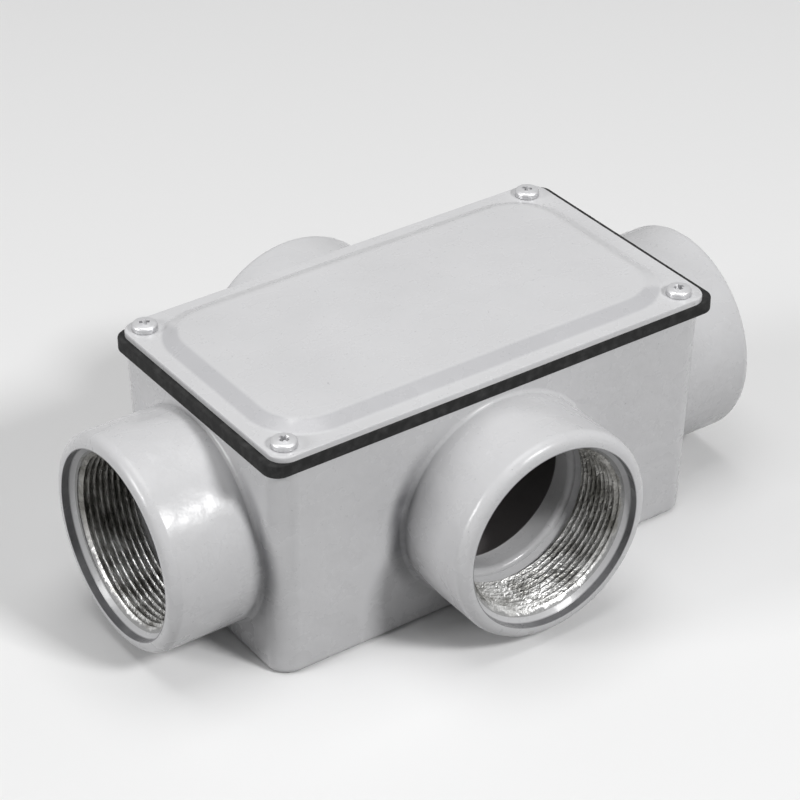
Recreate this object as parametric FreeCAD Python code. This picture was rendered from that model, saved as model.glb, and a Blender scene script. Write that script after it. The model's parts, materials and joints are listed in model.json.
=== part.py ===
import FreeCAD, Part
import math
import os

# Conduit body with four threaded hubs in a cross, closed by a cover on a thick gasket.
# Millimetres. The origin is the middle of the flat underside, +X runs along the two end hubs and
# +Z points up, through the cover.

# Thread and bore of every hub, from the mouth inwards
thread_radius = 30.05        # root of the female thread, 2 inch taper size
counterbore_depth = 2.4
thread_lead_in = 1.75        # chamfer from the counterbore down to the thread's root
thread_length = 20.0
thread_runout = 2.4          # from the last full thread to the lip of the throat
bushing_height = 3.85        # from the thread's root in to the integral bushing
throat_lip_bevel = 2.0       # the rounding that guards the wires, as one flat
end_throat_length = 6.95     # straight bore behind the lip, in the two hubs along X
side_throat_length = 5.95    # the same in the two hubs along Y

# Outside of the hubs
hub_wall = 4.7               # metal round the counterbore
hub_rim_bevel = 2.4          # the mouth's rounded outer edge, as one flat
hub_root_bevel = 1.4         # cast fillet where a hub leaves its wall, as one flat
land_below_hubs = 0.1        # flat wall between the hubs' roots and the base's edge
land_above_hubs = 0.5        # flat wall between the hubs' roots and the machined top
land_beside_hubs = 1.1       # flat wall between an end hub's root and the upright corners

# Box of the casting, measured at its machined top face
box_length = 166.0
end_draft = 0.6              # degrees, on the two walls that face along X
side_draft = 2.4             # degrees, on the two walls that face along Y
corner_radius = 8.0
base_edge_bevel = 2.0        # the cast round under the box, as one flat
wall = 3.5
base_thickness = 3.5

# Cover screws
screw_radius = 2.4
screw_length = 19.0
screw_head_radius = 4.5
screw_head_height = 2.8
screw_head_edge = 0.9        # straight part of the head's side
recess_width = 1.0           # cross recess in the head
recess_radius = 2.2
recess_depth = 1.7
screw_head_land = 1.9        # from a screw's head to the cover's edges
screw_hole_clearance = 0.4   # between the shank and the holes in cover and gasket
tapped_hole_clearance = 0.05
tapped_hole_spare = 4.0      # depth of the tapped hole past the screw's end
boss_wall = 3.1
boss_foot = 6.0              # length of the cone that ends each boss

# Gasket
gasket_thickness = 4.6
gasket_end_overhang = 3.0
gasket_side_overhang = 0.3
gasket_shift = 1.2           # it lies a little towards +X under the cover
gasket_corner_radius = 8.5
gasket_edge_bevel = 0.6
gasket_lip = 1.5             # how far it stands into the chamber past the wall
gasket_pad_wall = 2.6        # rubber left round each screw hole

# Cover, pressed from sheet with a raised panel
cover_end_setback = 0.5      # from the end of the box to the end of the cover
cover_thickness = 2.0
cover_corner_radius = 7.0
cover_edge_bevel = 0.5
panel_rise = 2.5
panel_slope = 7.0            # width of the sloping border in plan
panel_rim = 4.0              # flat rim between the cover's edge and the slope
panel_screw_clearance = 0.7  # from a screw's head to the foot of the slope

# Cutting allowance: how far a tool stands past the metal it removes
allowance = 6.0

UP = FreeCAD.Vector(0, 0, 1)
ORIGIN = FreeCAD.Vector(0, 0, 0)
TOUCHING = 1e-4              # how near a point counts as lying on an outline or a surface


# The bores and the hubs follow the thread, and the box is sized round its hubs
mouth_radius = thread_radius + thread_lead_in
throat_radius = thread_radius - bushing_height
hub_radius = mouth_radius + hub_wall
hub_axis_height = base_edge_bevel + land_below_hubs + hub_root_bevel + hub_radius
box_height = hub_axis_height + hub_radius + hub_root_bevel + land_above_hubs
box_width = 2 * (hub_radius + hub_root_bevel + land_beside_hubs + corner_radius)
lip_depth = counterbore_depth + thread_lead_in + thread_length + thread_runout
bushing_depth = lip_depth + throat_lip_bevel


def half_length_at(z):
    """Half the box's outside length at height z, with its draft."""
    return box_length / 2 - (box_height - z) * math.tan(math.radians(end_draft))


def half_width_at(z):
    """Half the box's outside width at height z, with its draft."""
    return box_width / 2 - (box_height - z) * math.tan(math.radians(side_draft))


# The casting is modelled a little too tall and then trimmed to its machined top face
cast_top = box_height + allowance

# Heights of the stack on top of the box
gasket_top = box_height + gasket_thickness
rim_top = gasket_top + cover_thickness

# Cover screws and the holes they pass
cover_half_length = box_length / 2 - cover_end_setback
cover_half_width = box_width / 2
screw_inset = screw_head_land + screw_head_radius
screw_x = cover_half_length - screw_inset
screw_y = cover_half_width - screw_inset
screw_places = [(side_x * screw_x, side_y * screw_y) for side_x in (-1, 1) for side_y in (-1, 1)]
screw_hole_radius = screw_radius + screw_hole_clearance
tapped_hole_radius = screw_radius + tapped_hole_clearance
tapped_hole_depth = screw_length - cover_thickness - gasket_thickness + tapped_hole_spare
boss_radius = tapped_hole_radius + boss_wall

# Hubs: turn about Z from +X, distance of the mouth, distance of the chamber's wall
end_chamber = half_length_at(hub_axis_height) - wall
side_chamber = half_width_at(hub_axis_height) - wall
hub_places = [
    (0, end_chamber + end_throat_length + bushing_depth, end_chamber),
    (90, side_chamber + side_throat_length + bushing_depth, side_chamber),
    (180, end_chamber + end_throat_length + bushing_depth, end_chamber),
    (270, side_chamber + side_throat_length + bushing_depth, side_chamber),
]


def rounded_rectangle(half_x, half_y, radius, z, centre_x=0.0):
    """Closed wire of four straight sides and four quarter circles, at height z."""
    arcs = []
    for side_x, side_y, start in [(1, 1, 0), (-1, 1, 90), (-1, -1, 180), (1, -1, 270)]:
        middle = FreeCAD.Vector(centre_x + side_x * (half_x - radius), side_y * (half_y - radius), z)
        turns = [math.radians(start + turn) for turn in (0, 45, 90)]
        arcs.append([middle + FreeCAD.Vector(math.cos(turn), math.sin(turn), 0) * radius
                     for turn in turns])
    edges = []
    for arc, following in zip(arcs, arcs[1:] + arcs[:1]):
        edges.append(Part.Arc(*arc).toShape())
        edges.append(Part.LineSegment(arc[2], following[0]).toShape())
    return Part.Wire(edges)


def prism(wire, height):
    """Solid between a flat wire and its copy at the given height above it."""
    return Part.Face(wire).extrude(UP * height)


def loft(outlines):
    """Solid with straight generators between matching wires, from the lowest to the highest."""
    return Part.makeLoft(outlines, True, True)


def drafted_block(half_x_at, half_y_at, low, high, corner_blend):
    """Block between two heights with flat drafted walls and rounded upright edges."""
    x_low, y_low, x_high, y_high = half_x_at(low), half_y_at(low), half_x_at(high), half_y_at(high)
    block = Part.makeWedge(-x_low, low, -y_low, -y_high, -x_high, x_low, high, y_low, y_high, x_high)
    block.rotate(ORIGIN, FreeCAD.Vector(1, 0, 0), 90)
    upright = [edge for edge in block.Edges if edge.BoundBox.ZLength > (high - low) / 2]
    return block.makeFillet(corner_blend, upright)


def upright_cylinder(radius, height, place, z):
    """Cylinder that stands at height z on the given (x, y) place."""
    return Part.makeCylinder(radius, height, FreeCAD.Vector(place[0], place[1], z), UP)


def upright_cone(lower_radius, upper_radius, height, place, z):
    """Cone that stands at height z on the given (x, y) place."""
    return Part.makeCone(lower_radius, upper_radius, height, FreeCAD.Vector(place[0], place[1], z), UP)


def real_edges(solid):
    """Edges of a solid without the points that stand for the tips of its cones."""
    return [edge for edge in solid.Edges if not edge.Degenerated]


def edges_round_hubs(solid, along, radius, nearest, furthest):
    """Edges at a radius about the hub axis along X (0) or Y (1), between two distances from the middle."""
    found = []
    for edge in real_edges(solid):
        points = edge.discretize(5)
        at_radius = all(abs(math.hypot(point[1 - along], point.z - hub_axis_height) - radius) < TOUCHING
                        for point in points)
        at_wall = all(nearest < abs(point[along]) < furthest for point in points)
        if at_radius and at_wall:
            found.append(edge)
    return found


def flat_face(corners):
    """Face inside a closed run of straight sides through the given corners."""
    return Part.Face(Part.makePolygon([*corners, corners[0]]))


def revolve_about_hub(corners, turn):
    """Turns a run of (distance, radius) corners about the hub axis and faces it along the hub."""
    face = flat_face([FreeCAD.Vector(reach, 0, hub_axis_height + radius) for reach, radius in corners])
    solid = face.revolve(FreeCAD.Vector(0, 0, hub_axis_height), FreeCAD.Vector(1, 0, 0), 360)
    solid.rotate(ORIGIN, UP, turn)
    return solid


def hub_outside(mouth, chamber, turn):
    """Solid hub from inside the box to its mouth, with a bevelled rim."""
    return revolve_about_hub([
        (chamber, 0),
        (chamber, hub_radius),
        (mouth - hub_rim_bevel, hub_radius),
        (mouth, hub_radius - hub_rim_bevel),
        (mouth, 0),
    ], turn)


def hub_bore(mouth, chamber, turn):
    """Tool for the counterbore, thread, run-out, lip and throat of one hub."""
    thread_start = mouth - counterbore_depth - thread_lead_in
    lip = mouth - lip_depth
    return revolve_about_hub([
        (mouth, 0),
        (mouth, mouth_radius),
        (mouth - counterbore_depth, mouth_radius),
        (thread_start, thread_radius),
        (thread_start - thread_length, thread_radius),
        (lip, throat_radius + throat_lip_bevel),
        (lip - throat_lip_bevel, throat_radius),
        (chamber - allowance, throat_radius),
        (chamber - allowance, 0),
    ], turn)


def make_box_and_hubs():
    """Outside of the casting: drafted box with rounded base, and four hubs blended into its walls."""
    box = drafted_block(half_length_at, half_width_at, 0, cast_top, corner_radius)
    box = box.makeChamfer(base_edge_bevel, [edge for edge in box.Edges if edge.BoundBox.ZMax < TOUCHING])
    for turn, mouth, chamber in hub_places:
        box = box.fuse(hub_outside(mouth, chamber, turn))
    roots = []
    for along, wall_at in enumerate((half_length_at, half_width_at)):
        roots += edges_round_hubs(box, along, hub_radius, wall_at(0) - base_edge_bevel, wall_at(cast_top))
    box = box.makeChamfer(hub_root_bevel, roots)
    above = prism(rounded_rectangle(box_length, box_width, corner_radius, box_height), 2 * allowance)
    return box.cut(above)


def make_chamber():
    """Wiring chamber inside the box, leaving the four screw bosses."""
    chamber = drafted_block(lambda z: half_length_at(z) - wall, lambda z: half_width_at(z) - wall,
                            base_thickness, cast_top, corner_radius - wall)
    boss_height = tapped_hole_depth + boss_wall
    for place in screw_places:
        boss = upright_cylinder(boss_radius, boss_height + allowance, place, box_height - boss_height)
        foot = upright_cone(0, boss_radius, boss_foot, place, box_height - boss_height - boss_foot)
        chamber = chamber.cut(boss.fuse(foot))
    return chamber


def make_casting():
    """Box, hubs, integral bushings and screw bosses in one casting, with its bores and tapped holes."""
    casting = make_box_and_hubs().cut(make_chamber())
    for turn, mouth, chamber in hub_places:
        casting = casting.cut(hub_bore(mouth, chamber, turn))
    for place in screw_places:
        casting = casting.cut(upright_cylinder(tapped_hole_radius, tapped_hole_depth, place,
                                               box_height - tapped_hole_depth))
    return casting


def drill_for_screws(plate, z, thickness):
    """Cuts the four clearance holes through a plate that lies at height z."""
    for place in screw_places:
        plate = plate.cut(upright_cylinder(screw_hole_radius, thickness, place, z))
    return plate


def make_gasket():
    """Sheet gasket with a soft outer edge, an opening over the chamber and a pad round each screw."""
    half_x = box_length / 2 + gasket_end_overhang
    half_y = box_width / 2 + gasket_side_overhang
    layers = [(gasket_edge_bevel, 0), (0, gasket_edge_bevel),
              (0, gasket_thickness - gasket_edge_bevel), (gasket_edge_bevel, gasket_thickness)]
    sheet = loft([rounded_rectangle(half_x - inset, half_y - inset, gasket_corner_radius - inset,
                                    box_height + height, gasket_shift) for inset, height in layers])
    seat = wall + gasket_lip
    opening = prism(rounded_rectangle(box_length / 2 - seat, box_width / 2 - seat, corner_radius - wall,
                                      box_height), gasket_thickness)
    for place in screw_places:
        pad = upright_cylinder(screw_hole_radius + gasket_pad_wall, gasket_thickness, place, box_height)
        opening = opening.cut(pad)
    return drill_for_screws(sheet.cut(opening), box_height, gasket_thickness)


def panel_corner_radius():
    """Corner radius of the slope's foot that clears the screw heads by panel_screw_clearance."""
    past_rim = screw_inset - panel_rim
    needed = screw_head_radius + panel_screw_clearance + math.sqrt(2) * past_rim
    return needed / (math.sqrt(2) - 1)


def panel_block(z, inset):
    """Block of the raised panel with its foot at height z."""
    outlines = []
    for inward, height in [(0, 0), (panel_slope, panel_rise)]:
        setback = panel_rim + inset + inward
        outlines.append(rounded_rectangle(cover_half_length - setback, cover_half_width - setback,
                                          panel_corner_radius() - inset - inward, z + height))
    return loft(outlines)


def make_cover():
    """Pressed cover: flat rim, sloping border and raised panel, one sheet thickness all over."""
    layers = [(0, 0), (0, cover_thickness - cover_edge_bevel), (cover_edge_bevel, cover_thickness)]
    plate = loft([rounded_rectangle(cover_half_length - inset, cover_half_width - inset,
                                    cover_corner_radius - inset, gasket_top + height)
                  for inset, height in layers])
    sheet_inset = cover_thickness * math.tan(math.atan2(panel_rise, panel_slope) / 2)
    cover = plate.fuse(panel_block(rim_top, 0)).cut(panel_block(gasket_top, sheet_inset))
    return drill_for_screws(cover, gasket_top, cover_thickness)


def make_screw(place):
    """Pan head screw with a cross recess, its head on the cover's rim and its shank down the boss."""
    dome = screw_head_height - screw_head_edge
    dome_radius = (screw_head_radius ** 2 + dome ** 2) / (2 * dome)
    half_turn = math.asin(screw_head_radius / dome_radius) / 2
    corners = [
        (0, -screw_length),
        (screw_radius, -screw_length),
        (screw_radius, 0),
        (screw_head_radius, 0),
        (screw_head_radius, screw_head_edge),
        (dome_radius * math.sin(half_turn), screw_head_height - dome_radius * (1 - math.cos(half_turn))),
        (0, screw_head_height),
    ]
    outline = flat_face([FreeCAD.Vector(radius, 0, height) for radius, height in corners])
    screw = outline.revolve(ORIGIN, UP, 360)
    recess_bottom = screw_head_height - recess_depth
    for half_x, half_y in [(recess_radius, recess_width / 2), (recess_width / 2, recess_radius)]:
        screw = screw.cut(Part.makeBox(2 * half_x, 2 * half_y, recess_depth,
                                       FreeCAD.Vector(-half_x, -half_y, recess_bottom)))
    screw.translate(FreeCAD.Vector(place[0], place[1], rim_top))
    return screw


def main():
    os.makedirs("parts", exist_ok=True)
    pieces = {
        "body_casting": make_casting(),
        "cover_gasket": make_gasket(),
        "cover": make_cover(),
        "cover_screws": Part.makeCompound([make_screw(place) for place in screw_places]),
    }
    for name, shape in pieces.items():
        shape.exportStep("parts/" + name + ".step")
        box = shape.BoundBox
        print(name, "valid" if shape.isValid() else "NOT VALID", "solids", len(shape.Solids),
              "volume", round(shape.Volume), "z", round(box.ZMin, 2), round(box.ZMax, 2))


main()
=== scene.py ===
# %% [markdown]
# # A conduit body with four threaded hubs
# The object is a cast box that joins electrical conduit. Four hubs with female threads leave it in a
# cross, and a pressed cover with a thick black gasket closes it, held by four screws. The plain solids
# come from the frame, and this lesson gives each of them its cast rounds, its threads and its finish.

# %% Load the frame
import json
import math

import bmesh
import bpy
from mathutils import Matrix, Vector

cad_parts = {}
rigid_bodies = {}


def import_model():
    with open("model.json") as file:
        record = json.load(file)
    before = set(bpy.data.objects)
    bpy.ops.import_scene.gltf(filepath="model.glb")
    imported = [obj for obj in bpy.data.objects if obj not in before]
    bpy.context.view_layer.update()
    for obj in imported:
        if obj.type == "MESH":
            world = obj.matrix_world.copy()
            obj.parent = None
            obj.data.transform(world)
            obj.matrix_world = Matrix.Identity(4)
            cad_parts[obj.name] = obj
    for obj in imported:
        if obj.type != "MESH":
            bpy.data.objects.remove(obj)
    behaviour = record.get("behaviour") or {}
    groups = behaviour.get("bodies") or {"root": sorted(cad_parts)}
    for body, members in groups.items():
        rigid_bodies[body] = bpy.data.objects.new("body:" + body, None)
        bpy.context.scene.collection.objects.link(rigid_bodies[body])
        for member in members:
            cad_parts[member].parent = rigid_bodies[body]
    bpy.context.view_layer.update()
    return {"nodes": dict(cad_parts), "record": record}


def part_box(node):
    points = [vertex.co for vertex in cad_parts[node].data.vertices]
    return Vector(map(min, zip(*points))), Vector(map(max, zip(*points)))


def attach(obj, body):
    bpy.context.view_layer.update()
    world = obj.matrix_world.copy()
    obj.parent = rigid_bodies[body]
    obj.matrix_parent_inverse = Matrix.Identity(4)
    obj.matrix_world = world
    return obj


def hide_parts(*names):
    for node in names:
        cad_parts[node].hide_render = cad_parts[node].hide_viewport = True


for leftover in list(bpy.data.objects):
    bpy.data.objects.remove(leftover)
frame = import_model()
MM = 0.001
print("solids in the frame:", sorted(frame["nodes"]))

# %% [markdown]
# Every size that the real pieces share is read from the frame, so that the new pieces sit where the
# plain ones do. A hub's mouth is the far end of the casting on its side, and the bore mounts of the
# record give the height of the hubs' axes, the radius of the thread and its length.

# %% Read the shared sizes
casting_low, casting_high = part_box("body_casting")
gasket_low, gasket_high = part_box("cover_gasket")
cover_low, cover_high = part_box("cover")
screws_low, screws_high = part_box("cover_screws")
bores = [mount for mount in frame["record"]["mounts"] if mount["kind"] == "threaded_hole"]
axis_height = bores[0]["pos_m"][2]
thread_root = bores[0]["dims"]["r_mm"] * MM
thread_length = bores[0]["dims"]["length_mm"] * MM
box_top = casting_high.z
hub_places = [
    ("right", 0, casting_high.x),
    ("back", 90, casting_high.y),
    ("left", 180, casting_high.x),
    ("front", 270, casting_high.y),
]
print("hub axes at", round(axis_height / MM, 2), "mm, box top at", round(box_top / MM, 2), "mm")
for name, low, high in (("casting", casting_low, casting_high), ("gasket", gasket_low, gasket_high),
                        ("cover", cover_low, cover_high), ("screws", screws_low, screws_high)):
    print(name, [round(side / MM, 1) for side in high - low], "mm")

# %% [markdown]
# An operator works on whatever is selected, and after loading that is every solid of the frame. These
# helpers select one piece alone, or the parts of an edited mesh that a test picks out by place or
# normal, and they apply a modifier as the button in the window does.

# %% Helpers for selecting and applying
KINDS = {"verts": "VERT", "edges": "EDGE", "faces": "FACE"}


def select_only(piece):
    bpy.ops.object.select_all(action="DESELECT")
    piece.select_set(True)
    bpy.context.view_layer.objects.active = piece


def edit(piece):
    select_only(piece)
    bpy.ops.object.mode_set(mode="EDIT")


def done():
    bpy.ops.object.mode_set(mode="OBJECT")


def pick(kind, wanted):
    """Selects the verts, edges or faces of the edited mesh that wanted() says yes to."""
    bpy.ops.mesh.select_mode(type=KINDS[kind])
    bpy.ops.mesh.select_all(action="DESELECT")
    mesh = bmesh.from_edit_mesh(bpy.context.object.data)
    for item in getattr(mesh, kind):
        if wanted(item):
            item.select_set(True)
    mesh.select_flush_mode()
    bmesh.update_edit_mesh(bpy.context.object.data)


def modify(piece, kind, **settings):
    """Adds a modifier with these settings and applies it."""
    select_only(piece)
    bpy.ops.object.modifier_add(type=kind)
    modifier = piece.modifiers[-1]
    for name, value in settings.items():
        setattr(modifier, name, value)
    bpy.ops.object.modifier_apply(modifier=modifier.name)


def combine(piece, tool, operation):
    """Joins a tool to a piece or cuts it out of it, and then deletes the tool."""
    modify(piece, "BOOLEAN", operation=operation, object=tool, solver="EXACT")
    bpy.data.objects.remove(tool)


def join(pieces):
    """Makes several pieces one, without cutting them."""
    select_only(pieces[0])
    for piece in pieces[1:]:
        piece.select_set(True)
    bpy.ops.object.join()
    return pieces[0]


def measure(piece):
    """Prints a piece's size, faces, volume and how many of its edges are left open."""
    mesh = bmesh.new()
    mesh.from_mesh(piece.data)
    open_edges = sum(not edge.is_manifold for edge in mesh.edges)
    size = " x ".join("%.2f" % (side / MM) for side in piece.dimensions)
    print("%s: %s mm, %d faces, %.2f cm3, %d open edges" % (
        piece.name, size, len(mesh.faces), mesh.calc_volume() / (10 * MM) ** 3, open_edges))
    mesh.free()


# %% [markdown]
# A turned shape, such as a hub, a bore or a screw's head, is half of its section spun round an axis. The
# section is drawn as by hand: a plane is merged to one point, and the point is extruded from corner to
# corner. Everything turned is drawn about the Z axis, with its mouth or top at height 0. Equal points
# are merged after the spin, because it leaves a doubled seam and doubled poles, and then the normals
# are turned outwards.

# %% Helpers for turned shapes
ROUND_STEPS = 128
WELD = 0.002 * MM


def arc(centre, radius, start, end, steps):
    """Corners of an arc in a section, as (radius, height), from start to end degrees."""
    turns = [math.radians(start + (end - start) * step / steps) for step in range(steps + 1)]
    return [(centre[0] + radius * math.cos(turn), centre[1] + radius * math.sin(turn)) for turn in turns]


def draw_section(name, corners):
    """Leaves a new object in edit mode with a run of edges through (radius, height) corners in mm."""
    bpy.ops.object.select_all(action="DESELECT")
    bpy.ops.mesh.primitive_plane_add(size=MM, location=(0, 0, 0))
    piece = bpy.context.object
    piece.name = name
    bpy.ops.object.mode_set(mode="EDIT")
    bpy.ops.mesh.select_mode(type="VERT")
    bpy.ops.mesh.merge(type="CENTER")
    here = Vector((0, 0, 0))
    for index, (radius, height) in enumerate(corners):
        there = Vector((radius * MM, 0, height * MM))
        move = {"value": there - here}
        if index == 0:
            bpy.ops.transform.translate(**move)
        else:
            bpy.ops.mesh.extrude_region_move(TRANSFORM_OT_translate=move)
        here = there
    return piece


def spin(name, corners, closed=False, steps=ROUND_STEPS):
    """A section of (radius, height) corners in mm turned once about the Z axis."""
    piece = draw_section(name, corners + corners[:1] if closed else corners)
    bpy.ops.mesh.select_all(action="SELECT")
    bpy.ops.mesh.spin(steps=steps, angle=math.tau, center=(0, 0, 0), axis=(0, 0, 1))
    bpy.ops.mesh.select_all(action="SELECT")
    bpy.ops.mesh.remove_doubles(threshold=WELD)
    bpy.ops.mesh.normals_make_consistent(inside=False)
    done()
    return piece


def settle(piece, location=(0, 0, 0), turn=(0, 0, 0)):
    """Puts a piece in its place and moves the place into its mesh."""
    select_only(piece)
    piece.location = location
    piece.rotation_euler = turn
    bpy.ops.object.transform_apply(location=True, rotation=True, scale=True)
    return piece


def copy_of(piece, name):
    twin = piece.copy()
    twin.data = piece.data.copy()
    twin.name = name
    bpy.context.collection.objects.link(twin)
    return twin


def settle_at_hub(piece, turn, mouth):
    """Moves a shape drawn with its mouth at height 0 to the mouth of a hub."""
    radians = math.radians(turn)
    place = (mouth * math.cos(radians), mouth * math.sin(radians), axis_height)
    return settle(piece, place, (0, math.radians(90), radians))


# %% [markdown]
# ## The casting
# The real box is poured in a sand mould, so its walls lean a little and its upright corners and its
# base edge are round. A cube is scaled to the box's top, its bottom face is drawn in for the draft,
# and the edges are bevelled in two goes: first the four upright ones, then the base.

# %% The box
BOX_LENGTH = 166.0 * MM
BOX_WIDTH = 94.0 * MM
END_DRAFT = math.radians(0.6)
SIDE_DRAFT = math.radians(2.4)
CORNER_RADIUS = 8.0 * MM
BASE_RADIUS = 2.5 * MM
UPRIGHT_STEPS = 12
BASE_STEPS = 8
NEAR = 0.01 * MM


def drafted_box(name, length, width, low, high, corner, base):
    """Box with leaning walls and rounded corners; length and width are those at the casting's top."""
    bpy.ops.object.select_all(action="DESELECT")
    bpy.ops.mesh.primitive_cube_add(size=1, location=(0, 0, (low + high) / 2))
    piece = bpy.context.object
    piece.name = name
    piece.scale = (1, 1, high - low)
    bpy.ops.object.transform_apply(location=True, rotation=True, scale=True)
    bpy.ops.object.mode_set(mode="EDIT")
    for level in (low, high):
        pick("verts", lambda vert: abs(vert.co.z - level) < MM)
        lean = box_top - level
        across = (length - 2 * lean * math.tan(END_DRAFT), width - 2 * lean * math.tan(SIDE_DRAFT), 1)
        bpy.ops.transform.resize(value=across)
    pick("edges", lambda edge: abs(edge.verts[0].co.z - edge.verts[1].co.z) > MM)
    bpy.ops.mesh.bevel(offset=corner, segments=UPRIGHT_STEPS, affect="EDGES")
    pick("edges", lambda edge: all(vert.co.z < low + NEAR for vert in edge.verts))
    bpy.ops.mesh.bevel(offset=base, segments=BASE_STEPS, affect="EDGES")
    done()
    return piece


casting = drafted_box("casting", BOX_LENGTH, BOX_WIDTH, 0, box_top, CORNER_RADIUS, BASE_RADIUS)
measure(casting)

# %% [markdown]
# Each hub is a plain cylinder with a rounded rim, and where it leaves the wall the foundry keeps a
# fillet. The fillet is its own turned ring, leaned back with the wall, whose inner sides lie under the
# metal. Hub and ring are drawn once each and copied to the four sides, and a boolean joins them to the
# box, which is the nearest thing to what the mould does.

# %% The hubs and the fillets at their roots
HUB_RADIUS = 36.5
HUB_DEPTH = 34.0
RIM_RADIUS = 3.8
ROOT_RADIUS = 1.8
SUNK = 0.04
UNDER_METAL = 1.0
ARC_STEPS = 10
hub_model = spin("hub_model", [
    (0, 0), *arc((HUB_RADIUS - RIM_RADIUS, -RIM_RADIUS), RIM_RADIUS, 90, 0, ARC_STEPS),
    (HUB_RADIUS, -HUB_DEPTH), (0, -HUB_DEPTH)])
ring_middle = (HUB_RADIUS + ROOT_RADIUS - SUNK, ROOT_RADIUS - SUNK)
fillet_model = spin("fillet_model", [
    *arc(ring_middle, ROOT_RADIUS, 180, 270, ARC_STEPS), (ring_middle[0], -UNDER_METAL),
    (HUB_RADIUS - UNDER_METAL, -UNDER_METAL), (HUB_RADIUS - UNDER_METAL, ring_middle[1])], closed=True)
measure(hub_model)
measure(fillet_model)

for side, turn, mouth in hub_places:
    hub = settle_at_hub(copy_of(hub_model, "hub"), turn, mouth)
    combine(casting, hub, "UNION")
    along_x = turn % 180 == 0
    half, draft = (BOX_LENGTH / 2, END_DRAFT) if along_x else (BOX_WIDTH / 2, SIDE_DRAFT)
    wall_at_axis = half - (box_top - axis_height) * math.tan(draft)
    ring = settle(copy_of(fillet_model, "fillet"), turn=(0, math.radians(90) + draft, 0))
    radians = math.radians(turn)
    place = (wall_at_axis * math.cos(radians), wall_at_axis * math.sin(radians), axis_height)
    combine(casting, settle(ring, place, (0, 0, radians)), "UNION")
bpy.data.objects.remove(hub_model)
bpy.data.objects.remove(fillet_model)
measure(casting)

# %% [markdown]
# The wiring chamber is a second drafted box, one wall smaller all round. Before it is cut out, four
# round bosses are cut out of it, so that they stay standing in the corners for the cover's screws.

# %% The chamber and its bosses
WALL = 3.5 * MM
FLOOR_RADIUS = 3.0 * MM
ALLOWANCE = 6.0 * MM
SCREW_INSET = 6.4 * MM
BOSS_RADIUS = 5.55
BOSS_HEIGHT = 19.5
BOSS_FOOT = 6.0
TAPPED_RADIUS = 2.45
TAPPED_DEPTH = 16.4
DRILL_POINT = 1.4
BOSS_STEPS = 48
HOLE_STEPS = 32
screw_x = cover_high.x - SCREW_INSET
screw_y = cover_high.y - SCREW_INSET
screw_places = [(sx * screw_x, sy * screw_y) for sx in (-1, 1) for sy in (-1, 1)]

chamber = drafted_box("chamber", BOX_LENGTH - 2 * WALL, BOX_WIDTH - 2 * WALL, WALL, box_top + ALLOWANCE,
                      CORNER_RADIUS - WALL, FLOOR_RADIUS)
boss_top = 2 * ALLOWANCE / MM
for place in screw_places:
    boss = spin("boss", [(0, boss_top), (BOSS_RADIUS, boss_top), (BOSS_RADIUS, -BOSS_HEIGHT),
                         (0, -BOSS_HEIGHT - BOSS_FOOT)], steps=BOSS_STEPS)
    combine(chamber, settle(boss, (*place, box_top)), "DIFFERENCE")
combine(casting, chamber, "DIFFERENCE")
for place in screw_places:
    hole = spin("hole", [(0, 1), (TAPPED_RADIUS, 1), (TAPPED_RADIUS, -TAPPED_DEPTH),
                         (0, -TAPPED_DEPTH - DRILL_POINT)], steps=HOLE_STEPS)
    combine(casting, settle(hole, (*place, box_top)), "DIFFERENCE")
measure(casting)

# %% [markdown]
# The bore of a hub is turned in one section: a short counterbore at the mouth, a chamfer that leads the
# conduit in, a seat for the thread, its run-out, and the integral bushing, whose rounded lip guards the
# wires. The thread itself comes next, on a sleeve that fills the seat, because its metal is bare.

# %% The bores
MOUTH_RADIUS = 31.8
COUNTERBORE = 2.4
THROAT_RADIUS = 26.2
LIP_RADIUS = 2.2
RUNOUT = 2.4
BORE_DEPTH = 44
SEAT = 0.25
root_r = thread_root / MM
thread_start = COUNTERBORE + MOUTH_RADIUS - root_r
thread_end = thread_start + thread_length / MM
lip_depth = thread_end + RUNOUT
bore_model = spin("bore_model", [
    (0, 2), (MOUTH_RADIUS, 2), (MOUTH_RADIUS, -COUNTERBORE),
    (root_r + SEAT, SEAT - thread_start), (root_r + SEAT, -thread_end), (root_r, -thread_end),
    *arc((THROAT_RADIUS + LIP_RADIUS, -lip_depth - LIP_RADIUS), LIP_RADIUS, 90, 180, ARC_STEPS),
    (THROAT_RADIUS, -BORE_DEPTH), (0, -BORE_DEPTH)])
measure(bore_model)
cutters = [settle_at_hub(copy_of(bore_model, "bore"), turn, mouth) for side, turn, mouth in hub_places]
combine(casting, join(cutters), "DIFFERENCE")
bpy.data.objects.remove(bore_model)
measure(casting)

# %% [markdown]
# On the real hub a tap cuts the thread, so a tap cuts it here too. One tooth of the tap is drawn, and the
# Screw modifier winds it up the axis, one pitch a turn. The ends are bisected flat and filled, which
# makes the tap a closed rod. A boolean then cuts the tap, and the cone of the lead-in chamfer, out of
# a plain sleeve.

# %% The tap
PITCH = 2.209
THREAD_DEPTH = 1.74
THREAD_FLAT = 0.16
TURN_STEPS = 96
SPARE_TURNS = 4
END_TURNS = 1.5
turns = math.ceil(thread_length / MM / PITCH) + SPARE_TURNS
crest_r = root_r - THREAD_DEPTH
half_flank = (PITCH - 2 * THREAD_FLAT) / 2
tap = draw_section("tap", [
    (crest_r, 0), (crest_r, THREAD_FLAT), (root_r, THREAD_FLAT + half_flank),
    (root_r, 2 * THREAD_FLAT + half_flank), (crest_r, PITCH)])
done()
modify(tap, "SCREW", angle=math.tau, screw_offset=PITCH * MM, iterations=turns, steps=TURN_STEPS,
       render_steps=TURN_STEPS, axis="Z", use_smooth_shade=False)
edit(tap)
bpy.ops.mesh.select_all(action="SELECT")
bpy.ops.mesh.remove_doubles(threshold=WELD)
tap_start = END_TURNS * PITCH
tap_end = tap_start + (turns - 2) * PITCH
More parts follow.
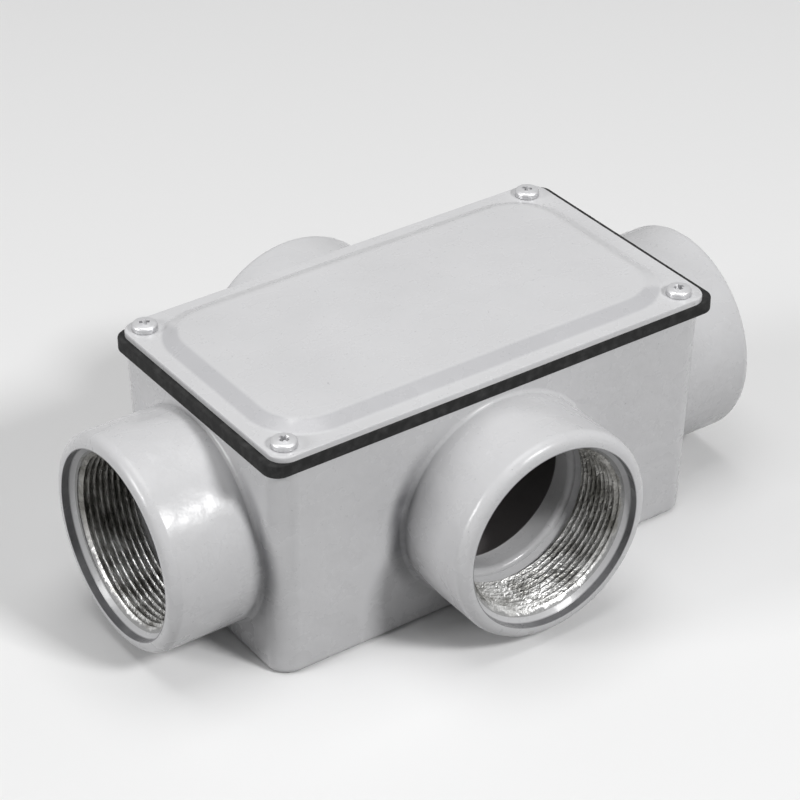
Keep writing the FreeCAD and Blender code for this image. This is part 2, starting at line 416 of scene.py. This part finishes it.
for height, above in ((tap_start, False), (tap_end, True)):
    bpy.ops.mesh.select_all(action="SELECT")
    bpy.ops.mesh.bisect(plane_co=(0, 0, height * MM), plane_no=(0, 0, 1), use_fill=True,
                        clear_inner=not above, clear_outer=above, threshold=1e-7)
bpy.ops.mesh.select_all(action="SELECT")
bpy.ops.mesh.normals_make_consistent(inside=False)
done()
settle(tap, (0, 0, (PITCH - thread_start - tap_end) * MM))
measure(tap)

# %% The threaded sleeves
SLEEVE_OUT = 0.2
HAIR = 0.03
CONE_OUT = 4
CONE_IN = 2
sleeve_r = root_r + SEAT + SLEEVE_OUT
sleeve_model = spin("sleeve_model", [(0, 0), (sleeve_r, 0), (sleeve_r, -thread_end), (0, -thread_end)])
combine(sleeve_model, tap, "DIFFERENCE")
cone_reach = MOUTH_RADIUS + COUNTERBORE + HAIR
cone_tip = crest_r - CONE_IN
lead_in = spin("lead_in", [(0, CONE_OUT), (cone_reach + CONE_OUT, CONE_OUT),
                           (cone_tip, cone_tip - cone_reach), (0, cone_tip - cone_reach)])
combine(sleeve_model, lead_in, "DIFFERENCE")
measure(sleeve_model)
sleeves = [settle_at_hub(copy_of(sleeve_model, "hub_thread_" + side), turn, mouth)
           for side, turn, mouth in hub_places]
bpy.data.objects.remove(sleeve_model)

# %% [markdown]
# ## The cover
# The cover is pressed from sheet: a flat rim, and inside it a slope that rises to a flat panel. The
# slope's corners are much rounder than the cover's, to leave room for the screws. Both outlines start as
# planes whose corners are bevelled with the same number of steps, so that a bridge between them makes
# an even rim. The panel is then inset upwards in small steps, gently at the slope's foot and at its
# crown and steeply between them. An inset goes the way its face looks, so the face is turned up first, or
# the panel would sink. Solidify gives the sheet its thickness. At its right end the real cover reaches a
# little further over the gasket than the plain solid does.

# %% The cover's sheet
CORNER_STEPS = 14
COVER_CORNER = 6.0 * MM
COVER_REACH = 1.4 * MM
SHEET = 2.0 * MM
PANEL_RIM = 4.0 * MM
FOOT_CORNER = 20.7 * MM
SLOPE_WIDTH = 7.5
SLOPE_STEPS = 14
FOOT_SHARE = 0.12
CROWN_SHARE = 0.35
rim_top = cover_low.z + SHEET
panel_rise = (cover_high.z - rim_top) / MM


def rounded_outline(name, half_x, half_y, corner, z, steps=CORNER_STEPS):
    """Leaves a new flat piece in edit mode: a rectangle with round corners."""
    bpy.ops.object.select_all(action="DESELECT")
    bpy.ops.mesh.primitive_plane_add(size=2, location=(0, 0, z))
    piece = bpy.context.object
    piece.name = name
    piece.scale = (half_x, half_y, 1)
    bpy.ops.object.transform_apply(location=True, rotation=True, scale=True)
    bpy.ops.object.mode_set(mode="EDIT")
    bpy.ops.mesh.select_all(action="SELECT")
    bpy.ops.mesh.bevel(offset=corner, segments=steps, affect="VERTICES")
    return piece


foot = rounded_outline("foot", cover_high.x - PANEL_RIM, cover_high.y - PANEL_RIM, FOOT_CORNER, rim_top)
bpy.ops.mesh.delete(type="ONLY_FACE")
done()
cover = rounded_outline("cover_pressed", cover_high.x, cover_high.y, COVER_CORNER, rim_top)
bpy.ops.mesh.delete(type="ONLY_FACE")
pick("verts", lambda vert: vert.co.x > 0)
bpy.ops.transform.translate(value=(COVER_REACH, 0, 0))
done()
foot.select_set(True)
bpy.ops.object.join()
edit(cover)
bpy.ops.mesh.select_mode(type="EDGE")
bpy.ops.mesh.select_all(action="SELECT")
bpy.ops.mesh.bridge_edge_loops()


def on_foot(edge):
    return edge.is_boundary and all(abs(vert.co.x) < cover_high.x - PANEL_RIM + NEAR
                                    and abs(vert.co.y) < cover_high.y - PANEL_RIM + NEAR
                                    for vert in edge.verts)


def slope_height(share):
    """Height of the slope, from 0 at its foot to 1 at the panel: rounded, straight, rounded."""
    steepness = 1 / (1 - FOOT_SHARE / 2 - CROWN_SHARE / 2)
    if share < FOOT_SHARE:
        return steepness * share ** 2 / (2 * FOOT_SHARE)
    if share > 1 - CROWN_SHARE:
        return 1 - steepness * (1 - share) ** 2 / (2 * CROWN_SHARE)
    return steepness * (share - FOOT_SHARE / 2)


pick("edges", on_foot)
bpy.ops.mesh.edge_face_add()
pick("faces", lambda face: face.normal.z < 0)
bpy.ops.mesh.flip_normals()
pick("faces", lambda face: len(face.verts) > 4)
height = 0.0
for step in range(1, SLOPE_STEPS + 1):
    rise = panel_rise * slope_height(step / SLOPE_STEPS)
    bpy.ops.mesh.inset(thickness=SLOPE_WIDTH / SLOPE_STEPS * MM, depth=(rise - height) * MM)
    height = rise
bpy.ops.mesh.select_all(action="SELECT")
bpy.ops.mesh.normals_make_consistent(inside=False)
done()
measure(cover)

# %% Give the sheet its thickness, edge and holes
COVER_EDGE = 0.7 * MM
SCREW_HOLE = 2.8
HOLE_REACH = 6
modify(cover, "SOLIDIFY", thickness=SHEET, offset=-1, use_even_offset=True)
edit(cover)
pick("edges", lambda edge: all(abs(vert.co.z - rim_top) < NEAR for vert in edge.verts)
     and any(abs(face.normal.z) < 0.5 for face in edge.link_faces))
bpy.ops.mesh.bevel(offset=COVER_EDGE, segments=4, affect="EDGES")
done()


def cut_screw_holes(piece, top):
    """Cuts the four clearance holes for the screws through a piece whose rim's top is at this height."""
    for place in screw_places:
        hole = spin("hole", [(0, HOLE_REACH), (SCREW_HOLE, HOLE_REACH), (SCREW_HOLE, -HOLE_REACH),
                             (0, -HOLE_REACH)], steps=HOLE_STEPS)
        combine(piece, settle(hole, (*place, top)), "DIFFERENCE")


cut_screw_holes(cover, rim_top)
measure(cover)

# %% [markdown]
# ## The gasket
# The black gasket is cut from thick rubber sheet and stands out past the cover, more at one end than at
# the other. It is a rounded outline pulled up to its thickness, with its edges softened. The opening
# over the chamber keeps rubber round each screw.

# %% The gasket
GASKET_CORNER = 5.5 * MM
GASKET_EDGE = 0.5 * MM
GASKET_LIP = 5.0 * MM
OPENING_CORNER = 20 * MM
gasket_middle = (gasket_low + gasket_high) / 2
half = (gasket_high - gasket_low) / 2
gasket = rounded_outline("gasket_sheet", half.x, half.y, GASKET_CORNER, 0)
bpy.ops.mesh.extrude_region_move(TRANSFORM_OT_translate={"value": (0, 0, 2 * half.z)})
bpy.ops.mesh.select_all(action="SELECT")
bpy.ops.mesh.normals_make_consistent(inside=False)
pick("edges", lambda edge: abs(edge.verts[0].co.z - edge.verts[1].co.z) < NEAR)
bpy.ops.mesh.bevel(offset=GASKET_EDGE, segments=3, affect="EDGES")
done()
settle(gasket, (gasket_middle.x, gasket_middle.y, gasket_low.z))
opening = rounded_outline("opening", BOX_LENGTH / 2 - GASKET_LIP, BOX_WIDTH / 2 - GASKET_LIP,
                          OPENING_CORNER, gasket_low.z - MM)
bpy.ops.mesh.extrude_region_move(TRANSFORM_OT_translate={"value": (0, 0, 2 * half.z + 2 * MM)})
bpy.ops.mesh.select_all(action="SELECT")
bpy.ops.mesh.normals_make_consistent(inside=False)
done()
combine(gasket, opening, "DIFFERENCE")
cut_screw_holes(gasket, gasket_high.z)
measure(gasket)

# %% [markdown]
# ## The screws
# Four pan head screws hold the cover. One is turned from its section, and two crossed tapered blocks are
# cut out of its head for the driver. The copies are turned a little differently, as hands leave them.

# %% The screws
SCREW_RADIUS = 2.4
HEAD_RADIUS = 4.2
UNDERCUT = 0.3
SIDE_HEIGHT = 1.3
SHOULDER = 1.0
TIP_WIDTH = 0.6
TIP_HEIGHT = 1.0
DRIVER_ARM = (5.0, 1.4, 3.6)
DRIVER_TIP = (0.3, 0.75, 1)
DRIVER_DROP = 0.3
SHANK_BOTTOM = -(rim_top - screws_low.z) / MM
head_height = (screws_high.z - rim_top) / MM
TURNS = (20, 65, -12, 38)
shoulder_centre = (HEAD_RADIUS - SHOULDER, SIDE_HEIGHT)
dome_rise = head_height - SIDE_HEIGHT - SHOULDER
dome_width = HEAD_RADIUS - SHOULDER
crown = [(dome_width * (1 - share), SIDE_HEIGHT + SHOULDER + dome_rise * (1 - (1 - share) ** 2))
         for share in (0.25, 0.5, 0.75, 1.0)]
screw_model = spin("screw_model", [
    (0, SHANK_BOTTOM), (SCREW_RADIUS - TIP_WIDTH, SHANK_BOTTOM), (SCREW_RADIUS, SHANK_BOTTOM + TIP_HEIGHT),
    (SCREW_RADIUS, 0), (HEAD_RADIUS - UNDERCUT, 0), (HEAD_RADIUS, UNDERCUT),
    *arc(shoulder_centre, SHOULDER, 0, 90, 8), *crown], steps=64)
for turn in (0, 90):
    bpy.ops.object.select_all(action="DESELECT")
    bpy.ops.mesh.primitive_cube_add(size=1, location=(0, 0, 0))
    arm = bpy.context.object
    arm.scale = [side * MM for side in DRIVER_ARM]
    bpy.ops.object.transform_apply(location=False, rotation=False, scale=True)
    bpy.ops.object.mode_set(mode="EDIT")
    pick("verts", lambda vert: vert.co.z < 0)
    bpy.ops.transform.resize(value=DRIVER_TIP)
    done()
    settle(arm, (0, 0, (head_height - DRIVER_DROP) * MM), (0, 0, math.radians(turn)))
    combine(screw_model, arm, "DIFFERENCE")
screws = []
for place, turn in zip(screw_places, TURNS):
    name = "cover_screw_%s_%s" % ("front" if place[1] < 0 else "back", "left" if place[0] < 0 else "right")
    screws.append(settle(copy_of(screw_model, name), (*place, rim_top), (0, 0, math.radians(turn))))
bpy.data.objects.remove(screw_model)
measure(screws[0])

# %% [markdown]
# ## Smooth and flat
# Round faces are shaded smooth and edges over 30 degrees stay sharp. A cast fillet meets a large flat
# wall, and without help its slope would bleed over the wall, so Weighted Normal lets the large
# faces win.

# %% Shade the pieces
SHARP_ANGLE = math.radians(30)
for piece in (casting, cover, gasket, *sleeves, *screws):
    select_only(piece)
    bpy.ops.object.shade_smooth_by_angle(angle=SHARP_ANGLE)
    modify(piece, "WEIGHTED_NORMAL", weight=80, keep_sharp=True)
    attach(piece, "root")
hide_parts("body_casting")
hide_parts("cover")
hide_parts("cover_gasket")
for screw in screws:
    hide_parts("cover_screws")

# %% [markdown]
# ## The finishes
# A finish is built from noise on Object coordinates, in metres, so its grain keeps its real size. The
# nodes of one material are kept together: each method adds a node, links it and hands back its output,
# so that a finish reads from its grain to its shader.

# %% A finish and its nodes
class Finish:
    """A material, the inputs of its shader, and methods that each add one linked node."""

    def __init__(self, name, colour, metallic=0.0, specular=0.5, roughness=0.5):
        self.material = bpy.data.materials.new(name)
        self.material.use_nodes = True
        self.nodes, self.links = self.material.node_tree.nodes, self.material.node_tree.links
        self.shader = self.nodes["Principled BSDF"].inputs
        self.shader["Base Color"].default_value = (*colour, 1)
        self.shader["Metallic"].default_value = metallic
        self.shader["Specular IOR Level"].default_value = specular
        self.shader["Roughness"].default_value = roughness
        self.where = self.nodes.new("ShaderNodeTexCoord").outputs["Object"]

    def feed(self, socket, value):
        """Links a socket to an input, or sets the input to a constant."""
        if isinstance(value, bpy.types.NodeSocket):
            self.links.new(value, socket)
        else:
            socket.default_value = value

    def noise(self, grain, detail=4):
        """Noise whose largest spots are about grain millimetres across."""
        texture = self.nodes.new("ShaderNodeTexNoise")
        for name, value in (("Vector", self.where), ("Scale", 1 / (grain * MM)), ("Detail", detail),
                            ("Roughness", 0.55)):
            self.feed(texture.inputs[name], value)
        return texture.outputs["Fac"]

    def ramp(self, value, low, high):
        """Greys or colours between two (position, colour) stops."""
        node = self.nodes.new("ShaderNodeValToRGB")
        for element, (position, colour) in zip(node.color_ramp.elements, (low, high)):
            element.position = position
            element.color = (*colour, 1) if isinstance(colour, tuple) else (colour, colour, colour, 1)
        self.feed(node.inputs["Fac"], value)
        return node.outputs["Color"]

    def blend(self, amount, low, high, how="MIX"):
        """Mixes two colours by a share."""
        node = self.nodes.new("ShaderNodeMix")
        node.data_type = "RGBA"
        node.blend_type = how
        for name, value in (("Factor", amount), ("A", low), ("B", high)):
            self.feed(node.inputs[name], value)
        return node.outputs["Result"]

    def bumps(self, *layers):
        """Chains bump nodes: each layer is a height, its distance in mm and its strength."""
        normal = None
        for height, distance, strength in layers:
            bump = self.nodes.new("ShaderNodeBump")
            for name, value in (("Height", height), ("Distance", distance * MM), ("Strength", strength)):
                self.feed(bump.inputs[name], value)
            if normal:
                self.feed(bump.inputs["Normal"], normal)
            normal = bump.outputs["Normal"]
        self.feed(self.shader["Normal"], normal)

    def math(self, operation, *values):
        node = self.nodes.new("ShaderNodeMath")
        node.operation = operation
        for socket, value in zip(node.inputs, values):
            self.feed(socket, value)
        return node.outputs["Value"]

    def product(self, first, *others):
        for other in others:
            first = self.math("MULTIPLY", first, other)
        return first

    def opposite(self, value):
        return self.math("SUBTRACT", 1, value)

    def fade(self, value, low, high):
        """1 where the value, in mm, is under low, and down to 0 where it is over high."""
        node = self.nodes.new("ShaderNodeMapRange")
        node.interpolation_type = "SMOOTHSTEP"
        for name, number in (("Value", value), ("From Min", low * MM), ("From Max", high * MM),
                             ("To Min", 1), ("To Max", 0)):
            self.feed(node.inputs[name], number)
        return node.outputs["Result"]

    def band(self, value, low_out, low_in, high_in, high_out):
        """1 between the two inner limits, in mm, and down to 0 at the two outer ones."""
        return self.product(self.opposite(self.fade(value, low_out, low_in)),
                            self.fade(value, high_in, high_out))

    def place(self):
        """The point's X, Y and Z."""
        parts = self.nodes.new("ShaderNodeSeparateXYZ")
        self.feed(parts.inputs["Vector"], self.where)
        return parts.outputs["X"], parts.outputs["Y"], parts.outputs["Z"]

    def dress(self, *pieces):
        """Gives pieces this finish alone."""
        for piece in pieces:
            piece.data.materials.clear()
            piece.data.materials.append(self.material)
        print(self.material.name, "has", len(self.nodes), "nodes and is on", [piece.name for piece in pieces])


# %% [markdown]
# Paint and bare metal meet at the hubs, so two finishes have to know where a point lies on a hub. They
# measure it from the leaning walls and from the hubs' axes, once for the two hubs on the long axis and
# once for the two on the cross axis.

# %% Where a point lies on the hubs
def hub_distances(finish):
    """For the long axis and then the cross axis: how far a point is outside the wall, how deep behind
    the hub's mouth, how far from the hub's axis and how far to its side; and last its height above
    those axes."""
    x, y, z = finish.place()
    above = finish.math("SUBTRACT", z, axis_height)
    above_squared = finish.math("MULTIPLY", above, above)
    measured = []
    for along, across, wall, draft, mouth in ((x, y, BOX_LENGTH / 2, END_DRAFT, casting_high.x),
                                              (y, x, BOX_WIDTH / 2, SIDE_DRAFT, casting_high.y)):
        outward = finish.math("ABSOLUTE", along)
        wall_at_axis = wall - (box_top - axis_height) * math.tan(draft)
        lean = finish.math("MULTIPLY", above, math.tan(draft))
        outside = finish.math("SUBTRACT", outward, finish.math("ADD", wall_at_axis, lean))
        depth = finish.math("SUBTRACT", mouth, outward)
        squared = finish.math("ADD", above_squared, finish.math("MULTIPLY", across, across))
        measured.append((outside, depth, finish.math("SQRT", squared), across))
    return measured, above


# %% [markdown]
# ### Paint
# The casting and the cover have the same light grey paint. It runs smooth over the cast surface, so its
# gloss shows long soft waves rather than grain, with a few specks. Painted shade darkens the paint in the
# corner at each hub's root on the far side, on the cover's left and front slopes, and in the counterbore
# of each mouth; on the casting it comes in patches. Past the bushings the inside of the box is painted
# dark as shade, with the roughness of bare metal.

# %% The paint that both share
CLOUD_GRAIN = 42
SPECK_GRAIN = 1.3
WAVE_GRAIN = 11
RIPPLE_GRAIN = 3.2


def paint(name, grey, wave_depth):
    """Grey paint, and its colour and roughness for the layers that come over it."""
    coat = Finish(name, grey)
    shade = coat.ramp(coat.noise(CLOUD_GRAIN, 3), (0.3, tuple(0.94 * part for part in grey)), (0.7, grey))
    specks = coat.ramp(coat.noise(SPECK_GRAIN, 2), (0.71, 1.0), (0.76, 0.78))
    colour = coat.blend(1.0, shade, specks, "MULTIPLY")
    rough = coat.ramp(coat.noise(WAVE_GRAIN), (0.3, 0.22), (0.7, 0.34))
    coat.bumps((coat.noise(WAVE_GRAIN, 1), wave_depth, 0.5),
               (coat.noise(RIPPLE_GRAIN, 2), wave_depth / 4, 0.35))
    return coat, colour, rough


# %% Paint on the cover, with painted shade on its left and front slopes
COVER_GREY = (0.65, 0.65, 0.66)
COVER_WAVES = 0.5
SLOPE_SHADE = (0.80, 0.80, 0.81)
SLOPE_EDGE = 3.0
cover_paint, colour, rough = paint("sheet_paint", COVER_GREY, COVER_WAVES)
x, y, z = cover_paint.place()
crown_x = SLOPE_WIDTH - (cover_high.x - PANEL_RIM) / MM
crown_y = SLOPE_WIDTH - (cover_high.y - PANEL_RIM) / MM
near = cover_paint.math("MAXIMUM", cover_paint.fade(x, crown_x, crown_x + SLOPE_EDGE),
                        cover_paint.fade(y, crown_y, crown_y + SLOPE_EDGE))
low, high = rim_top / MM, cover_high.z / MM
slope_shade_mask = cover_paint.product(near, cover_paint.band(z, low, low + 0.5, high - 0.35, high))
# Painted shade: the left and front slopes are darkened in the paint's colour.
shaded_colour = cover_paint.blend(1.0, colour, (*SLOPE_SHADE, 1), "MULTIPLY")
cover_paint.feed(cover_paint.shader["Base Color"], cover_paint.blend(slope_shade_mask, colour, shaded_colour))
cover_paint.feed(cover_paint.shader["Roughness"], rough)
cover_paint.dress(cover, frame["nodes"]["cover"])

# %% Paint on the casting, with painted shade at the hubs' roots and in the counterbores
CASTING_GREY = (0.64, 0.64, 0.65)
CASTING_WAVES = 0.9
PAINTED_SHADE = (0.30, 0.30, 0.31)
ROOT_REACH = 5.0
ROOT_HEIGHTS = (-34, -6, 10, 37)
ROOT_RING = (2.5, 7.5)
FAR_SIDE = (-8, 14)
casting_paint, colour, rough = paint("cast_paint", CASTING_GREY, CASTING_WAVES)
measured, above = hub_distances(casting_paint)
beside_axis = casting_paint.band(above, *ROOT_HEIGHTS)
masks = []
for outside, depth, from_axis, sideways in measured:
    # Painted shade in the corner at each hub's root, and in each mouth's counterbore.
    root = casting_paint.product(
        beside_axis, casting_paint.band(outside, -3, -1.5, 0, ROOT_REACH),
        casting_paint.fade(from_axis, HUB_RADIUS + ROOT_RING[0], HUB_RADIUS + ROOT_RING[1]),
        casting_paint.fade(sideways, *FAR_SIDE))
    counterbore = casting_paint.product(
        casting_paint.fade(depth, COUNTERBORE, COUNTERBORE + 0.4),
        casting_paint.fade(from_axis, MOUTH_RADIUS + 0.1, MOUTH_RADIUS + 0.4))
    masks.append(casting_paint.math("MAXIMUM", root, counterbore))
patches = casting_paint.ramp(casting_paint.noise(16, 3), (0.30, 0.7), (0.6, 1.0))
# The painted shade is broken into patches and darkens the paint's colour.
shade_mask = casting_paint.product(casting_paint.math("MAXIMUM", *masks), patches)
shaded_colour = casting_paint.blend(1.0, colour, (*PAINTED_SHADE, 1), "MULTIPLY")
colour = casting_paint.blend(shade_mask, colour, shaded_colour)

# %% Painted shade inside the casting: dark colour, rough as bare metal
INSIDE_SHADE = (0.15, 0.14, 0.14)
INSIDE_ROUGH = (0.6, 0.6, 0.6)
PAINT_EDGE = 0.2
skin = WALL / MM - PAINT_EDGE
chamber_floor = skin - axis_height / MM
# Painted shade: the inside of the chamber, past the bushings, is coloured dark.
inside = casting_paint.product(
    casting_paint.fade(measured[0][0], -skin, PAINT_EDGE - skin),
    casting_paint.fade(measured[1][0], -skin, PAINT_EDGE - skin),
    casting_paint.opposite(casting_paint.fade(above, chamber_floor, chamber_floor + 0.15)))
colour = casting_paint.blend(inside, colour, (*INSIDE_SHADE, 1))
rough = casting_paint.blend(inside, rough, (*INSIDE_ROUGH, 1))
casting_paint.feed(casting_paint.shader["Base Color"], colour)
casting_paint.feed(casting_paint.shader["Roughness"], rough)
casting_paint.dress(casting, frame["nodes"]["body_casting"])

# %% [markdown]
# ### Rubber, plated steel and bare thread
# The gasket is dull black rubber with a little pale dust. The screws are zinc plated. A tap leaves the
# threads bare: bright and torn in small spots, so they sparkle. Painted shade darkens the upper part of
# each bore, and painted light brightens the lower part.

# %% Rubber of the gasket
rubber = Finish("black_sheet_rubber", (0.028, 0.028, 0.028), specular=0.3, roughness=0.8)
rubber.feed(rubber.shader["Base Color"], rubber.ramp(rubber.noise(3, 6), (0.45, 0.012), (0.75, 0.038)))
rubber.bumps((rubber.noise(6), 0.4, 0.5), (rubber.noise(0.7, 3), 0.08, 0.6))
rubber.dress(gasket, frame["nodes"]["cover_gasket"])

# %% Zinc on the screws
zinc = Finish("zinc_plate", (0.60, 0.60, 0.61), metallic=1.0)
zinc.feed(zinc.shader["Roughness"], zinc.ramp(zinc.noise(1.5), (0.3, 0.34), (0.7, 0.50)))
zinc.bumps((zinc.noise(0.6, 3), 0.03, 0.4))
zinc.dress(*screws, frame["nodes"]["cover_screws"])

# %% Cut metal of the threads, with painted light below and painted shade above, and paint that reached the lead-in
SHADED_METAL = ((0.13, 0.127, 0.115), (0.36, 0.355, 0.34))
LIT_METAL = ((0.34, 0.335, 0.32), (0.80, 0.80, 0.79))
LIT_HEIGHTS = (-24, -6)
SPRAYED_GREY = (0.37, 0.37, 0.37)
SPRAYED_ROUGH = (0.4, 0.4, 0.4)
SPRAY_DEPTH = 6.0
SPRAY_RAGGED = 3
bare = Finish("bare_cut_metal", (0.5, 0.5, 0.5), metallic=1.0)
measured, above = hub_distances(bare)
spots = bare.noise(7, 5)
shaded_spots = bare.ramp(spots, (0.35, SHADED_METAL[0]), (0.65, SHADED_METAL[1]))
lit_spots = bare.ramp(spots, (0.35, LIT_METAL[0]), (0.62, LIT_METAL[1]))
# Painted light and shade: the bare metal is coloured bright low in each bore and dark higher up.
spots_and_painted_light = bare.blend(bare.fade(above, *LIT_HEIGHTS), shaded_spots, lit_spots)
rough = bare.ramp(bare.noise(1.0), (0.3, 0.26), (0.7, 0.50))
depth = bare.math("MINIMUM", measured[0][1], measured[1][1])
ragged = bare.math("MULTIPLY", bare.noise(5, 3), SPRAY_RAGGED * MM)
sprayed = bare.fade(bare.math("ADD", depth, ragged), SPRAY_DEPTH, SPRAY_DEPTH + 0.5)
bare.feed(bare.shader["Base Color"], bare.blend(sprayed, spots_and_painted_light, (*SPRAYED_GREY, 1)))
bare.feed(bare.shader["Roughness"], bare.blend(sprayed, rough, (*SPRAYED_ROUGH, 1)))
bare.feed(bare.shader["Metallic"], bare.opposite(sprayed))
bare.bumps((bare.noise(1.4, 3), 0.5, 0.8), (bare.noise(0.5, 2), 0.08, 0.6))
bare.dress(*sleeves)

# %% [markdown]
# ## The studio
# A wide pale floor under plain soft light. The camera stands where the photographer's did. The floor
# sends less light back up than it shows, so that the undersides of the hubs stay as dark as they are in
# the photo.

# %% The floor
FLOOR_SIZE = 12
FLOOR_WHITE = (0.87, 0.87, 0.87)
FLOOR_BOUNCE = (0.40, 0.40, 0.40)
bpy.ops.object.select_all(action="DESELECT")
bpy.ops.mesh.primitive_plane_add(size=FLOOR_SIZE, location=(0, 0, 0))
floor = bpy.context.object
floor.name = "floor"
ground = Finish("pale_floor", FLOOR_WHITE, specular=0.2, roughness=0.9)
path = ground.nodes.new("ShaderNodeLightPath")
ground.feed(ground.shader["Base Color"],
            ground.blend(path.outputs["Is Diffuse Ray"], (*FLOOR_WHITE, 1), (*FLOOR_BOUNCE, 1)))
ground.dress(floor)

# %% The lamps
LAMPS = [
    ("key", (0.45, -1.45, 1.34), 0.35, 22),
    ("left_light", (-1.62, 0.36, 0.76), 0.5, 13),
    ("overhead", (0.0, 0.1, 1.8), 1.2, 13),
]
for name, location, size, power in LAMPS:
    bpy.ops.object.select_all(action="DESELECT")
    bpy.ops.object.light_add(type="AREA", location=location)
    lamp = bpy.context.object
    lamp.name = name
    lamp.data.size = size
    lamp.data.energy = power
    aim = Vector((0, 0, axis_height)) - Vector(location)
    lamp.rotation_euler = aim.to_track_quat("-Z", "Y").to_euler()
    print(name, "stands", round(aim.length, 2), "m away")

# %% The world: dim light for the object, pale to the camera and in reflections
WORLD_LIGHT = 0.12
BACKGROUND_GREY = (0.84, 0.84, 0.84)
world = bpy.data.worlds.new("studio")
bpy.context.scene.world = world
world.use_nodes = True
nodes, links = world.node_tree.nodes, world.node_tree.links
sky = nodes["Background"]
sky.inputs["Color"].default_value = (1, 1, 1, 1)
sky.inputs["Strength"].default_value = WORLD_LIGHT
seen = nodes.new("ShaderNodeBackground")
seen.inputs["Color"].default_value = (*BACKGROUND_GREY, 1)
seen.inputs["Strength"].default_value = 1.0
path = nodes.new("ShaderNodeLightPath")
either = nodes.new("ShaderNodeMath")
either.operation = "MAXIMUM"
links.new(path.outputs["Is Camera Ray"], either.inputs[0])
links.new(path.outputs["Is Glossy Ray"], either.inputs[1])
choose = nodes.new("ShaderNodeMixShader")
links.new(either.outputs["Value"], choose.inputs["Fac"])
links.new(sky.outputs["Background"], choose.inputs[1])
links.new(seen.outputs["Background"], choose.inputs[2])
links.new(choose.outputs["Shader"], nodes["World Output"].inputs["Surface"])

# %% The camera
AZIMUTH = math.radians(-34.857)
ELEVATION = math.radians(33.059)
ROLL = math.radians(-0.23)
CAMERA_PLACE = Vector((-0.4378, -0.6203, 0.5451))
LENS = 124.5
SENSOR = 36
lens = bpy.data.cameras.new("camera")
lens.lens = LENS
lens.sensor_width = SENSOR
camera = bpy.data.objects.new("camera", lens)
bpy.context.collection.objects.link(camera)
camera.matrix_world = (Matrix.Translation(CAMERA_PLACE) @ Matrix.Rotation(AZIMUTH, 4, "Z")
                       @ Matrix.Rotation(math.pi / 2 - ELEVATION, 4, "X") @ Matrix.Rotation(ROLL, 4, "Z"))
bpy.context.scene.camera = camera
bpy.context.scene.view_settings.view_transform = "Standard"
